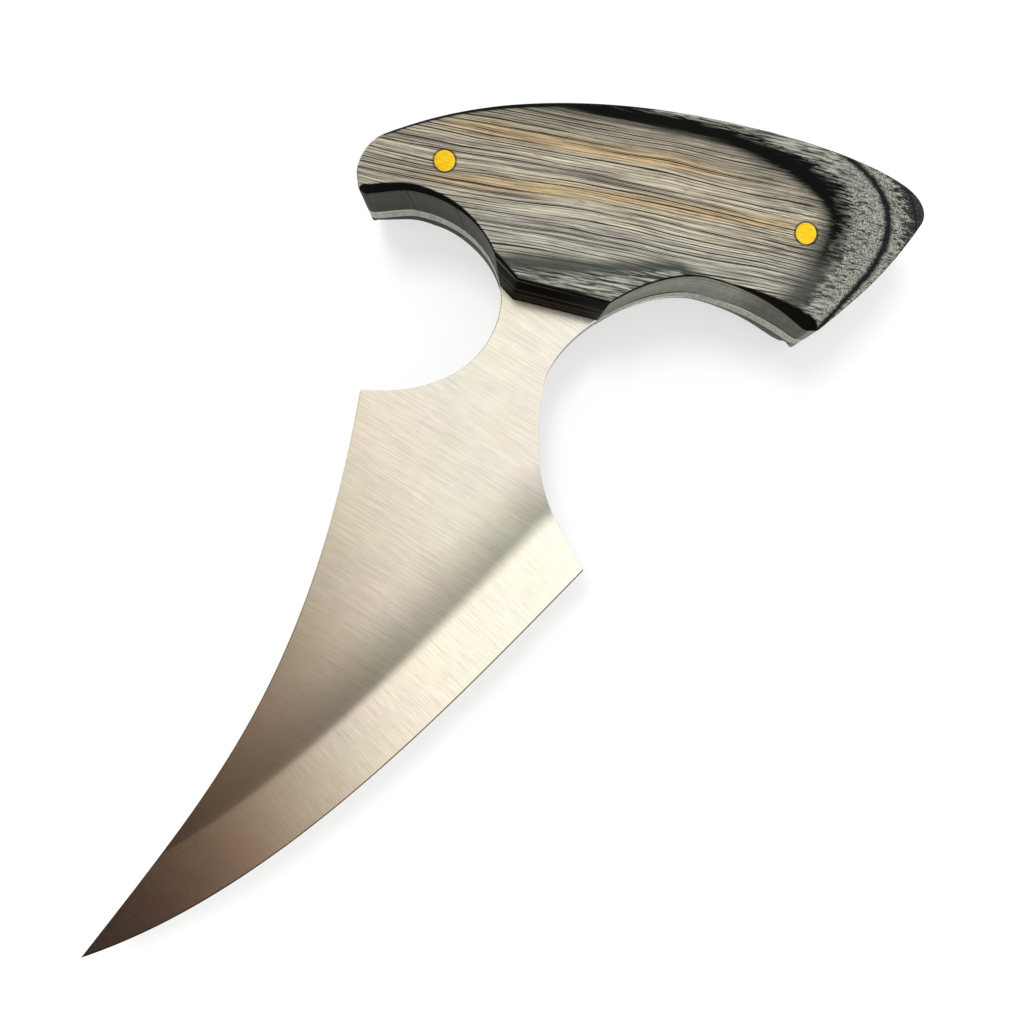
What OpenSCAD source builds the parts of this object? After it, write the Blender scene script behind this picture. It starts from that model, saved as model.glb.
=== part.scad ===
// Push knife with a T handle: one full-tang steel blade between two dyed
// laminated-wood scales, bonded and held by two brass pins.
// The middle between the pins is X = 0, Y = 0. +X runs along the handle to its
// nose, +Y away from the blade, +Z up from the flat back face, where Z = 0.

/* [Handle] */
// From the middle of the handle to its butt end
butt_reach = 48.8; // [44:0.5:60]
// From the middle of the handle to its nose
nose_reach = 56; // [50:0.5:68]
// Height of the back's crest above the line of the pins
crest_h = 17.6; // [16:0.5:26]
// Place of the crest along the handle
crest_x = 11; // [0:0.5:20]
// Height of the nose above the line of the pins
nose_h = 8.5; // [6:0.5:14]
// From the middle to the lower corner of the nose end
heel_corner_x = 38.2; // [34:0.5:44]
// Depth of that corner below the line of the pins
heel_corner_drop = 16.6; // [14:0.2:22]
// Depth of the butt's lower corner below the line of the pins
butt_corner_drop = 8; // [6:0.5:12]
// Thickness of each scale
scale_t = 9.9; // [7:0.1:13]
// Thickness of the epoxy film under each scale
film_t = 0.1; // [0.08:0.02:0.3]

/* [Crown of the scales] */
// Where the faces begin to fall towards the nose
nose_fall_x = 20; // [5:1:32]
// Radius of that fall
nose_fall_r = 110; // [90:5:250]
// Half width of the flat land on each face
land_half_w = 8; // [5:0.5:12]
// Radius of the roll from the land to the edges
side_roll_r = 36; // [24:2:90]
// Slope of the short facets over the neck, in degrees
facet_draft = 7; // [0:1:12]

/* [Rolled groove edges] */
// How far the back scale's groove edges are rolled in on its face
back_roll_w = 4.5; // [1:0.1:6]
// How far up the groove wall that roll reaches
back_roll_h = 7; // [2:0.1:7]
// The same on the front scale's face
front_roll_w = 0.8; // [0.4:0.1:3]
// The same on the front scale's groove wall
front_roll_h = 1; // [0.5:0.1:5]

/* [Pins] */
// Distance between the pins
pin_gap = 66.7; // [56:0.1:76]
// Diameter of each pin and of its holes
pin_d = 4; // [2.5:0.1:6]

/* [Finger grooves] */
// Depth of the first finger groove's crown below the line of the pins
left_groove_drop = 6.1; // [5:0.1:9]
// Place of that crown along the handle
left_groove_x = -38; // [-40:0.5:-34]
// Depth of the second finger groove's crown below the line of the pins
right_groove_drop = 11.5; // [9:0.5:14]
// Place of that crown along the handle
right_groove_x = 18; // [14:0.5:22]

/* [Neck] */
// Edge of the neck inside the first finger groove
neck_left_x = -19; // [-21:0.2:-16]
// Depth of that place below the line of the pins
neck_left_drop = 22; // [21:0.5:24]
// Edge of the neck inside the second finger groove
neck_right_x = -8; // [-10:0.2:-4]
// Depth of that place below the line of the pins
neck_right_drop = 35; // [32:0.5:40]
// Depth of the scales' ends over the neck
guard_drop = 19.9; // [18:0.1:21]

/* [Blade] */
// Thickness of the steel bar
steel_t = 3.2; // [2.4:0.1:5]
// Depth of the tip below the line of the pins
tip_drop = 161; // [134:1:200]
// Distance of the tip to the butt's side of the middle
tip_side = 74.8; // [60:0.2:90]
// Depth of the shoulder at the top of the spine
shoulder_drop = 42; // [38:0.5:46]
// Distance of the shoulder to the butt's side of the middle
shoulder_side = 42.5; // [38:0.5:48]
// Depth of the heel at the top of the cutting edge
heel_drop = 68; // [60:0.5:76]
// Distance of the heel to the nose's side of the middle
heel_side = 6.7; // [2:0.1:14]
// Width of the ground bevel on each side
bevel_w = 12.4; // [8:0.2:16]
// Thickness left at the cutting edge
edge_t = 0.3; // [0.2:0.05:0.8]

/* [Hidden] */
$fn = 64;

// Points on each stretch of outline, and room by which a cut or a blank runs past
steps = 12;
edge_steps = 24;
over = 5;
reach = 400;

// Levels of the layers, from the flat back face upwards
back_bond_z = scale_t;
steel_z = back_bond_z + film_t;
front_bond_z = steel_z + steel_t;
front_scale_z = front_bond_z + film_t;
handle_t = front_scale_z + scale_t;
mid_z = handle_t / 2;

// Corners of the outline
butt_top = [-butt_reach + 3.6, 3.2];
butt_side = [-butt_reach, -4];
butt_low = [-butt_reach + 1.3, 1.2 - butt_corner_drop];
butt_corner = [-butt_reach + 2.8, 0.1 - butt_corner_drop];
left_crown = [left_groove_x, -left_groove_drop];
neck_left = [neck_left_x, -neck_left_drop];
shoulder = [-shoulder_side, -shoulder_drop];
tip = [-tip_side, -tip_drop];
heel = [heel_side, -heel_drop];
neck_right = [neck_right_x, -neck_right_drop];
right_crown = [right_groove_x, -right_groove_drop];
corner_in = [heel_corner_x - 1.4, -heel_corner_drop + 0.7];
corner_out = [heel_corner_x + 1, -heel_corner_drop + 0.9];
nose_low = [nose_reach - 0.8, nose_h - 1.2];
nose_top = [nose_reach - 5.5, nose_h + 5.1];
crest = [crest_x, crest_h];

// A step of length r in the direction of angle a
function step(r, a) = r * [cos(a), sin(a)];

// A smooth curve from p to q. It leaves p at angle a and arrives at q at angle b,
// and ra and rb say how long it holds each direction. q itself is left out,
// because the next stretch starts there.
function bend(p, a, ra, q, b, rb, n = steps) = [
    for (i = [0 : n - 1])
        let (t = i / n, u = 1 - t, p1 = p + step(ra, a), q1 = q - step(rb, b))
            u * u * u * p + 3 * u * u * t * p1 + 3 * u * t * t * q1 + t * t * t * q
];

// The same points in the opposite order
function reversed(points) = [for (i = [len(points) - 1 : -1 : 0]) points[i]];

// Cutting edge from the heel to the tip
edge_line = concat(bend(heel, 236.8, 40, tip, 209.6, 39.4, edge_steps), [tip]);

// Round the butt, from the crest of the back to the first finger groove
butt_line = concat(
    bend(crest, 180, 22, butt_top, 213.5, 16),
    bend(butt_top, 213.5, 2, butt_side, 268, 3.5, 6),
    bend(butt_side, 268, 1, butt_low, 288, 1, 4),
    bend(butt_low, 288, 0.8, butt_corner, 12, 0.6, 4));

// First finger groove from the butt to the neck, and the second from the neck
// to the nose end
left_groove = concat(
    bend(butt_corner, 12, 2.5, left_crown, 0, 2.5, 6),
    bend(left_crown, 0, 10.5, neck_left, 270, 8.5));
right_groove = concat(
    bend(neck_right, 92, 10, right_crown, 356, 11),
    bend(right_crown, 356, 8, corner_in, 336, 7));

// Nose end, from the second groove back to the crest
nose_line = concat(
    bend(corner_in, 336, 0.7, corner_out, 50, 0.7, 4),
    bend(corner_out, 51, 10, nose_low, 65, 12),
    bend(nose_low, 65, 3.2, nose_top, 162, 3.4, 8),
    bend(nose_top, 162, 10, crest, 180, 10));

// Whole outline of the steel: handle, neck and blade
module steel_outline() {
    polygon(concat(
        butt_line,
        left_groove,
        bend(neck_left, 270, 9.5, shoulder, 185, 16),
        bend(shoulder, 271, 58, tip, 243, 41.5, 20),
        [for (i = [edge_steps : -1 : 1]) edge_line[i]],
        bend(heel, 133, 11, neck_right, 92, 19),
        right_groove,
        nose_line));
}

// Side the scales are on: above a slightly tilted cut over the neck, with one
// small corner facet
module guard_side() {
    tilt = -3;
    facet_low = [neck_left_x + 2, 0.5 - guard_drop];
    facet_top = facet_low + [-3, 2.2];
    polygon([
        [-reach, facet_top[1]],
        facet_top,
        facet_low,
        facet_low + step(reach, tilt),
        [reach, reach],
        [-reach, reach]]);
}

// Plan of the handle, shared by the scales and the bonds
module handle_outline() {
    intersection() {
        steel_outline();
        guard_side();
    }
}

// How far a roll of radius r has fallen at distance d past the edge of its land
function fall(d, r) = d <= 0 ? 0 : r - sqrt(r * r - d * d);

// Turns what faces +Z to face -Z, about the middle of the handle's thickness
module turned_over() {
    translate([0, 0, handle_t])
        mirror([0, 0, 1])
            children();
}

// Waste over the long fall to the nose, on the side facing +Z
module nose_waste() {
    x_end = nose_reach + over;
    y_end = crest_h + over;
    falls = [
        for (i = [0 : steps])
            let (x = nose_fall_x + (x_end - nose_fall_x) * i / steps)
                [x, handle_t - fall(x - nose_fall_x, nose_fall_r)]
    ];
    rotate([90, 0, 0])
        translate([0, 0, -y_end])
            linear_extrude(2 * y_end)
                polygon(concat(falls, [[x_end, handle_t + over], [nose_fall_x, handle_t + over]]));
}

// Outer form that both scales and the pins are sanded to: flat lands, rolled
// sides and a long fall to the nose, the same on both faces
module crowned_form() {
    y_end = crest_h + over;
    rolls = [
        for (i = [0 : steps])
            let (y = land_half_w + (y_end - land_half_w) * i / steps)
                [y, fall(y - land_half_w, side_roll_r)]
    ];
    difference() {
        rotate([90, 0, 90])
            translate([0, 0, -butt_reach - over])
                linear_extrude(butt_reach + nose_reach + 2 * over)
                    polygon(concat(
                        [for (p = reversed(rolls)) [-p[0], p[1]]],
                        rolls,
                        [for (p = reversed(rolls)) [p[0], handle_t - p[1]]],
                        [for (p = rolls) [-p[0], handle_t - p[1]]]));
        nose_waste();
        turned_over()
            nose_waste();
    }
}

// A layer of the handle between two levels
module handle_layer(z, t) {
    translate([0, 0, z])
        linear_extrude(t)
            handle_outline();
}

// Places of the two pins, for their holes and for the pins themselves
module at_pin(side) {
    translate([side * pin_gap / 2, 0, -over])
        cylinder(d = pin_d, h = handle_t + 2 * over);
}

module pin_holes() {
    at_pin(-1);
    at_pin(1);
}

// Waste beyond the sloping facet on the scales' ends, on the side facing +Z
module facet_waste() {
    translate([neck_left_x - 2, -guard_drop, mid_z])
        rotate([-facet_draft, 0, 0])
            translate([0, -over, 0])
                cube([neck_right_x - neck_left_x + 10, over, handle_t]);
}

// Waste along a line on the outline: a wedge whose sloping side starts on the
// wall at height z_wall and reaches height z_face at distance w inside it. The
// piece lies to the right of the line as it runs.
module wedge_waste(line, w, z_wall, z_face) {
    slope = (z_face - z_wall) / w;
    past = w / 5;
    count = len(line);
    first = line[0] + over * (line[0] - line[1]) / norm(line[0] - line[1]);
    run_out = line[count - 1] - line[count - 2];
    last = line[count - 1] + over * run_out / norm(run_out);
    path = concat([first], line, [last]);
    corners = [
        for (i = [0 : count + 1])
            let (along = path[min(i + 1, count + 1)] - path[max(i - 1, 0)],
                 inward = [along[1], -along[0]] / norm(along),
                 out = path[i] - over * inward,
                 back = path[i] + (w + past) * inward)
                each [
                    [out[0], out[1], z_wall - over * slope],
                    [back[0], back[1], z_face + past * slope],
                    [out[0], out[1], z_face + past * slope]]
    ];
    walls = [
        for (i = [0 : count], k = [0 : 2])
            let (a = 3 * i + k, b = 3 * i + (k + 1) % 3)
                each [[a, b, a + 3], [b, b + 3, a + 3]]
    ];
    end = 3 * (count + 1);
    polyhedron(corners, concat([[2, 1, 0]], walls, [[end, end + 1, end + 2]]));
}

// Waste over one side of the ground bevel, on the side facing +Z
module bevel_waste() {
    wedge_waste(edge_line, bevel_w, mid_z + edge_t / 2, mid_z + steel_t / 2);
}

// Waste at the outer edges of both finger grooves, on the side facing +Z
module groove_waste(w, h) {
    wedge_waste(reversed(concat(left_groove, [neck_left])), w, handle_t - h, handle_t);
    wedge_waste(reversed(concat(right_groove, [corner_in])), w, handle_t - h, handle_t);
}

// Blade, neck and full tang in one piece, ground from both sides to its edge
module blade() {
    color("gainsboro")
        difference() {
            translate([0, 0, steel_z])
                linear_extrude(steel_t)
                    steel_outline();
            bevel_waste();
            turned_over()
                bevel_waste();
            pin_holes();
        }
}

// One scale, as the crowned handle from level z up by t
module scale_body(z, t) {
    difference() {
        intersection() {
            handle_layer(z, t);
            crowned_form();
        }
        pin_holes();
    }
}

module front_scale() {
    color("dimgray")
        difference() {
            scale_body(front_scale_z, scale_t + over);
            facet_waste();
            groove_waste(front_roll_w, front_roll_h);
        }
}

module back_scale() {
    color("dimgray")
        difference() {
            scale_body(-over, scale_t + over);
            turned_over() {
                facet_waste();
                groove_waste(back_roll_w, back_roll_h);
            }
        }
}

// Cured epoxy between each scale and the tang
module bond(z) {
    color("khaki")
        difference() {
            handle_layer(z, film_t);
            pin_holes();
        }
}

module back_bond() {
    bond(back_bond_z);
}

module front_bond() {
    bond(front_bond_z);
}

// Brass rod through both scales and the tang, sanded flush with their faces
module pin(side) {
    color("gold")
        intersection() {
            at_pin(side);
            crowned_form();
        }
}

module left_pin() {
    pin(-1);
}

module right_pin() {
    pin(1);
}

blade();
back_scale();
front_scale();
back_bond();
front_bond();
left_pin();
right_pin();
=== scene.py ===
"""A T-handled push knife: satin-ground steel, dyed laminated-wood scales and brass pins.

Laid out as an add-on and run as a script. Lengths in the outlines are millimetres,
and a piece is turned to metres when its mesh is made.
"""

import math

import bmesh
import bpy
import numpy as np
from bpy.props import FloatProperty, FloatVectorProperty, PointerProperty
from bpy.types import Operator, Panel, PropertyGroup
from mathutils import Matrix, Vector


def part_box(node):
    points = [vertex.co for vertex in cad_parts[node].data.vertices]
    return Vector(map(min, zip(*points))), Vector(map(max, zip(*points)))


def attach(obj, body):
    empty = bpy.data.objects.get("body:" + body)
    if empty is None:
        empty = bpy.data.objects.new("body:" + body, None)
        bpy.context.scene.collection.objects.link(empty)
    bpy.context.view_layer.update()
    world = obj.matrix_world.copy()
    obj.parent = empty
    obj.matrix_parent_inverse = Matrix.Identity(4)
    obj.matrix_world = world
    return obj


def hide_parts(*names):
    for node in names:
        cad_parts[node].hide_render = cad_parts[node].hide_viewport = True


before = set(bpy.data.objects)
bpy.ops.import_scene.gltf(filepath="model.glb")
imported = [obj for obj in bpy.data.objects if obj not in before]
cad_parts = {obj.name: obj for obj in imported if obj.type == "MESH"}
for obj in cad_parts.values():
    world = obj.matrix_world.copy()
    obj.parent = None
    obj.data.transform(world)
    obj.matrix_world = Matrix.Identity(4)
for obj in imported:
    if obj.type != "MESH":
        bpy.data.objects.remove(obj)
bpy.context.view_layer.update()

bl_info = {
    "name": "Push Knife",
    "version": (1, 0, 0),
    "blender": (4, 5, 0),
    "location": "3D Viewport > Sidebar > Knife",
    "description": "Builds a T-handled push knife around its packed frame",
    "category": "Object",
}

MM = 0.001


def node_box(name):
    """Lowest and highest corner of a frame node, in millimetres."""
    low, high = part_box(name)
    return np.array(low) / MM, np.array(high) / MM


BLADE_LOW, BLADE_HIGH = node_box("blade")
FRONT_LOW, FRONT_HIGH = node_box("front_scale")
BACK_LOW, BACK_HIGH = node_box("back_scale")
PIN_LOW, PIN_HIGH = node_box("right_pin")

TANG_LOW_Z = BLADE_LOW[2]
TANG_HIGH_Z = BLADE_HIGH[2]
MID_Z = (TANG_LOW_Z + TANG_HIGH_Z) / 2
FACE_Z = FRONT_HIGH[2]
PIN_X = (PIN_LOW[0] + PIN_HIGH[0]) / 2
PIN_D = PIN_HIGH[0] - PIN_LOW[0]


# ---- sizes and colours

def srgb(code):
    """Linear colour of an sRGB hex value such as "#a0b0c0"."""
    parts = np.array([int(code[i:i + 2], 16) / 255 for i in (1, 3, 5)])
    linear = np.where(parts <= 0.04045, parts / 12.92, ((parts + 0.055) / 1.055) ** 2.4)
    return (*linear.tolist(), 1.0)


class KnifeSizes(PropertyGroup):
    """Sizes that a maker would change, in metres."""

    bevel_w: FloatProperty(
        name="Bevel Width", description="Width of the ground bevel on each side",
        default=0.0124, min=0.006, max=0.018, unit="LENGTH")
    edge_t: FloatProperty(
        name="Edge Thickness", description="Steel left at the cutting edge",
        default=0.0003, min=0.0001, max=0.001, unit="LENGTH")
    nose_fall_r: FloatProperty(
        name="Nose Fall Radius", description="Radius of the faces' fall to the nose",
        default=0.150, min=0.06, max=0.3, unit="LENGTH")
    side_roll_r: FloatProperty(
        name="Side Roll Radius", description="Radius of the faces' fall to both sides",
        default=0.040, min=0.02, max=0.1, unit="LENGTH")
    front_chamfer: FloatProperty(
        name="Front Chamfer", description="Widest chamfer at the front scale's grooves",
        default=0.0013, min=0.0002, max=0.003, unit="LENGTH")
    back_roll: FloatProperty(
        name="Back Groove Roll", description="Roll at the back scale's groove edges",
        default=0.0045, min=0.0002, max=0.006, unit="LENGTH")
    veneer_t: FloatProperty(
        name="Veneer Thickness", description="Thickness of one dyed veneer",
        default=0.0016, min=0.0008, max=0.003, unit="LENGTH")


class KnifeColours(PropertyGroup):
    """Base colours of the finishes, linear."""

    steel: FloatVectorProperty(
        name="Steel", description="Satin-ground steel",
        default=srgb("#d4d0c4")[:3], size=3, min=0, max=1, subtype="COLOR")
    brass: FloatVectorProperty(
        name="Brass", description="Polished brass",
        default=srgb("#deb823")[:3], size=3, min=0, max=1, subtype="COLOR")


# ---- outlines

def step(r, a):
    """A step of length r in the direction of a degrees."""
    return r * np.array([math.cos(math.radians(a)), math.sin(math.radians(a))])


def bend(p, a, ra, q, b, rb, n=60):
    """Cubic from p to q that leaves p at angle a and reaches q at angle b; ra and rb
    say how long it holds each direction. Returns n + 1 points."""
    t = np.linspace(0, 1, n + 1)[:, None]
    p, q = np.array(p, float), np.array(q, float)
    p1, q1 = p + step(ra, a), q - step(rb, b)
    u = 1 - t
    return u**3 * p + 3 * u * u * t * p1 + 3 * u * t * t * q1 + t**3 * q


def joined(*stretches):
    """Stretches laid end to end, with each shared point once."""
    return np.vstack([s[:-1] for s in stretches[:-1]] + [stretches[-1]])


def lengths(line):
    """Distance run along a line at each of its points, as a share of the whole."""
    run = np.concatenate([[0], np.cumsum(np.linalg.norm(np.diff(line, axis=0), axis=1))])
    return run / run[-1]


def spread(line, shares):
    """Points of a line at the given shares of its length."""
    run = lengths(line)
    return np.stack([np.interp(shares, run, line[:, k]) for k in range(2)], axis=1)


def eased(n, lean=0.85):
    """n + 1 shares from 0 to 1, closer together at both ends."""
    t = np.linspace(0, 1, n + 1)
    return (1 - lean) * t + lean * (1 - np.cos(np.pi * t)) / 2


BUTT_X = FRONT_LOW[0]
NOSE_X = 56.0
NOSE_Y = 8.5
TIP = np.array([BLADE_LOW[0], BLADE_LOW[1]])
CREST = np.array([11, FRONT_HIGH[1]])
BUTT_TOP = np.array([BUTT_X + 3.75, 3.1])
BUTT_SIDE = np.array([BUTT_X, -4])
BUTT_LOW = np.array([BUTT_X + 0.7, -6.9])
BUTT_CORNER = np.array([BUTT_X + 2.4, -8.1])
LEFT_CROWN = np.array([-38, -6.1])
NECK_LEFT = np.array([-19, -22])
SHOULDER = np.array([-42.5, -42])
HEEL = np.array([6.7, -68])
NECK_RIGHT = np.array([-8, -35])
RIGHT_CROWN = np.array([18, -11.5])
CORNER_IN = np.array([37.1, -16.2])
CORNER_OUT = np.array([39.8, -15.9])
NOSE_LOW = np.array([NOSE_X - 0.8, NOSE_Y - 1.2])
NOSE_TOP = np.array([NOSE_X - 5.5, NOSE_Y + 5.1])

EDGE_LINE = bend(HEEL, 236.8, 40, TIP, 209.6, 39.4, 200)
SPINE_LINE = bend(SHOULDER, 271, 58, TIP, 243, 41.5, 200)
BACK_LINE = joined(
    bend(BUTT_TOP, 32.5, 15.5, CREST, 0, 22),
    bend(CREST, 0, 10, NOSE_TOP, -18, 10),
    bend(NOSE_TOP, -18, 3.4, NOSE_LOW, 245, 3.2))
BUTT_LINE = joined(
    bend(BUTT_CORNER, 192, 0.9, BUTT_LOW, 104, 0.8, 12),
    bend(BUTT_LOW, 104, 1, BUTT_SIDE, 88, 1, 12),
    bend(BUTT_SIDE, 88, 3.5, BUTT_TOP, 32.5, 2, 20))
END_LINE = joined(
    bend(CORNER_IN, -24, 1.0, CORNER_OUT, 50, 0.9, 12),
    bend(CORNER_OUT, 51, 10, NOSE_LOW, 65, 12))
LEFT_GROOVE = joined(
    bend(BUTT_CORNER, 12, 2.5, LEFT_CROWN, 0, 2.5, 30),
    bend(LEFT_CROWN, 0, 10.5, NECK_LEFT, 270, 8.5, 120))
LEFT_NOTCH = bend(NECK_LEFT, 270, 9.5, SHOULDER, 185, 16, 120)
RIGHT_NOTCH = bend(NECK_RIGHT, 272, 19, HEEL, 313, 11, 120)
RIGHT_GROOVE = joined(
    bend(NECK_RIGHT, 92, 10, RIGHT_CROWN, 356, 11, 120),
    bend(RIGHT_CROWN, 356, 8, CORNER_IN, 336, 7, 60))

# The scales end over the neck on a tilted cut with one short corner facet
GUARD_LOW = np.array([-17, -19.4])
GUARD_TILT = -3
GUARD_DRAFT = 7
GUARD_FACET = np.array([-3, 2.2])


def parted(line, origin, direction):
    """The line up to where it last crosses the straight line through origin along
    direction, and the rest of it. Both hold the crossing point."""
    side = np.array([-direction[1], direction[0]])
    away = (line - origin) @ side
    i = np.nonzero(np.sign(away[1:]) != np.sign(away[:-1]))[0][-1]
    share = away[i] / (away[i] - away[i + 1])
    cross = line[i] + share * (line[i + 1] - line[i])
    return np.vstack([line[:i + 1], cross]), np.vstack([cross, line[i + 1:]])


def nearest(points, line):
    """Shortest distance of each point to a line of straight stretches, and how far
    along the line that nearest place is: each point is dropped on every stretch,
    kept within its ends, and the closest foot counts."""
    a, b = line[:-1], line[1:]
    run = b - a
    size = np.maximum((run**2).sum(1), 1e-12)
    begun = np.concatenate([[0], np.cumsum(np.sqrt(size))[:-1]])
    gap, place = np.empty(len(points)), np.empty(len(points))
    pairs_at_once = 4_000_000
    blocks = max(1, len(points) * len(a) // pairs_at_once)
    for block in np.array_split(np.arange(len(points)), blocks):
        p = points[block][:, None, :] - a
        t = np.clip((p * run).sum(2) / size, 0, 1)
        away = ((p - t[:, :, None] * run)**2).sum(2)
        foot = away.argmin(1)
        rows = np.arange(len(block))
        gap[block] = np.sqrt(away[rows, foot])
        place[block] = begun[foot] + t[rows, foot] * np.sqrt(size[foot])
    return gap, place


def distance_to(points, line):
    """Shortest distance of each point to a line."""
    return nearest(points, line)[0]


def patch(bottom, top, left, right, u, v):
    """Coons patch: the plane grid whose four borders are the given lines. Each point
    is the sum of the two ruled surfaces between facing borders, less the plane
    quadrilateral through the corners. bottom and top are sampled at u, left and
    right at v. Returns an array of len(v) rows by len(u) columns."""
    u, v = u[None, :, None], v[:, None, None]
    rows = (1 - v) * bottom[None] + v * top[None]
    cols = (1 - u) * left[:, None] + u * right[:, None]
    flat = ((1 - u) * (1 - v) * bottom[0] + u * (1 - v) * bottom[-1]
            + (1 - u) * v * top[0] + u * v * top[-1])
    return rows + cols - flat


# ---- mesh making

def grid_faces(rows, cols, start=0, turned=False):
    """Quads of a grid of rows by cols points, numbered from start."""
    i = np.arange((rows - 1) * (cols - 1))
    a = start + (i // (cols - 1)) * cols + i % (cols - 1)
    quads = np.stack([a, a + 1, a + cols + 1, a + cols], axis=1)
    return quads[:, ::-1] if turned else quads


def border(rows, cols, start=0):
    """Point numbers round the border of a grid, counter-clockwise, the first not repeated."""
    n = start + np.arange(rows * cols).reshape(rows, cols)
    return np.concatenate([n[0, :-1], n[:-1, -1], n[-1, :0:-1], n[:0:-1, 0]])


def strip_faces(loop_a, loop_b):
    """Quads between two closed loops of point numbers of the same length."""
    return np.stack([loop_a, np.roll(loop_a, -1), np.roll(loop_b, -1), loop_b], axis=1)


def make_piece(name, points, quads, sharp_deg, materials, kinds=None, fields=None):
    """Closed mesh object from points in millimetres and quads: doubles merged, faces
    outward, smooth but for edges sharper than sharp_deg. kinds gives each quad its
    material, and fields holds values per point under their names."""
    mesh = bpy.data.meshes.new(name)
    mesh.vertices.add(len(points))
    mesh.vertices.foreach_set("co", (points * MM).astype(np.float32).ravel())
    mesh.loops.add(quads.size)
    mesh.loops.foreach_set("vertex_index", quads.astype(np.int32).ravel())
    mesh.polygons.add(len(quads))
    mesh.polygons.foreach_set("loop_start", np.arange(0, quads.size, 4, dtype=np.int32))
    mesh.polygons.foreach_set("loop_total", np.full(len(quads), 4, dtype=np.int32))
    for material in materials:
        mesh.materials.append(material)
    if kinds is not None:
        mesh.polygons.foreach_set("material_index", kinds.astype(np.int32))
    for key, values in (fields or {}).items():
        layer = mesh.attributes.new(key, "FLOAT", "POINT")
        layer.data.foreach_set("value", values.astype(np.float32))
    mesh.update(calc_edges=True)
    bm = bmesh.new()
    bm.from_mesh(mesh)
    same_place, no_length = 2e-7, 1e-8
    bmesh.ops.remove_doubles(bm, verts=bm.verts, dist=same_place)
    bmesh.ops.dissolve_degenerate(bm, edges=bm.edges, dist=no_length)
    bmesh.ops.recalc_face_normals(bm, faces=bm.faces)
    bm.to_mesh(mesh)
    bm.free()
    mesh.validate()
    mesh.polygons.foreach_set("use_smooth", np.ones(len(mesh.polygons), dtype=bool))
    mesh.set_sharp_from_angle(angle=math.radians(sharp_deg))
    piece = bpy.data.objects.new(name, mesh)
    bpy.context.scene.collection.objects.link(piece)
    return piece


# ---- shapes

def smooth_step(x, low, high):
    """0 below low, 1 above high, and a cubic with level ends between them."""
    t = np.clip((x - low) / (high - low), 0, 1)
    return t * t * (3 - 2 * t)


def round_over(d, w, h):
    """Drop of a quarter ellipse, w wide and h high, at distance d from the wall."""
    s = np.clip(1 - d / np.maximum(w, 1e-6), 0, 1)
    return h * (1 - np.sqrt(np.clip(1 - s * s, 0, 1)))


def chamfer(d, w, h):
    """Drop of a straight cut, w wide and h high, at distance d from the wall."""
    return h * np.clip(1 - d / np.maximum(w, 1e-6), 0, 1)


def lens(t):
    """A low hump over 0 to 1, a parabola one high in the middle, and 0 outside."""
    return np.clip(4 * t * (1 - t), 0, 1)


def soft_min(a, b, k):
    """Smaller of a and b, blended over a height of k where they are close."""
    h = np.clip(0.5 + 0.5 * (b - a) / k, 0, 1)
    return b * (1 - h) + a * h - k * h * (1 - h)


def mark_shares(line, marks):
    """Share of a line's length at which it passes closest to each mark."""
    run = lengths(line)
    gaps = np.linalg.norm(line[None] - np.array(marks, float)[:, None], axis=2)
    return run[gaps.argmin(axis=1)]


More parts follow.
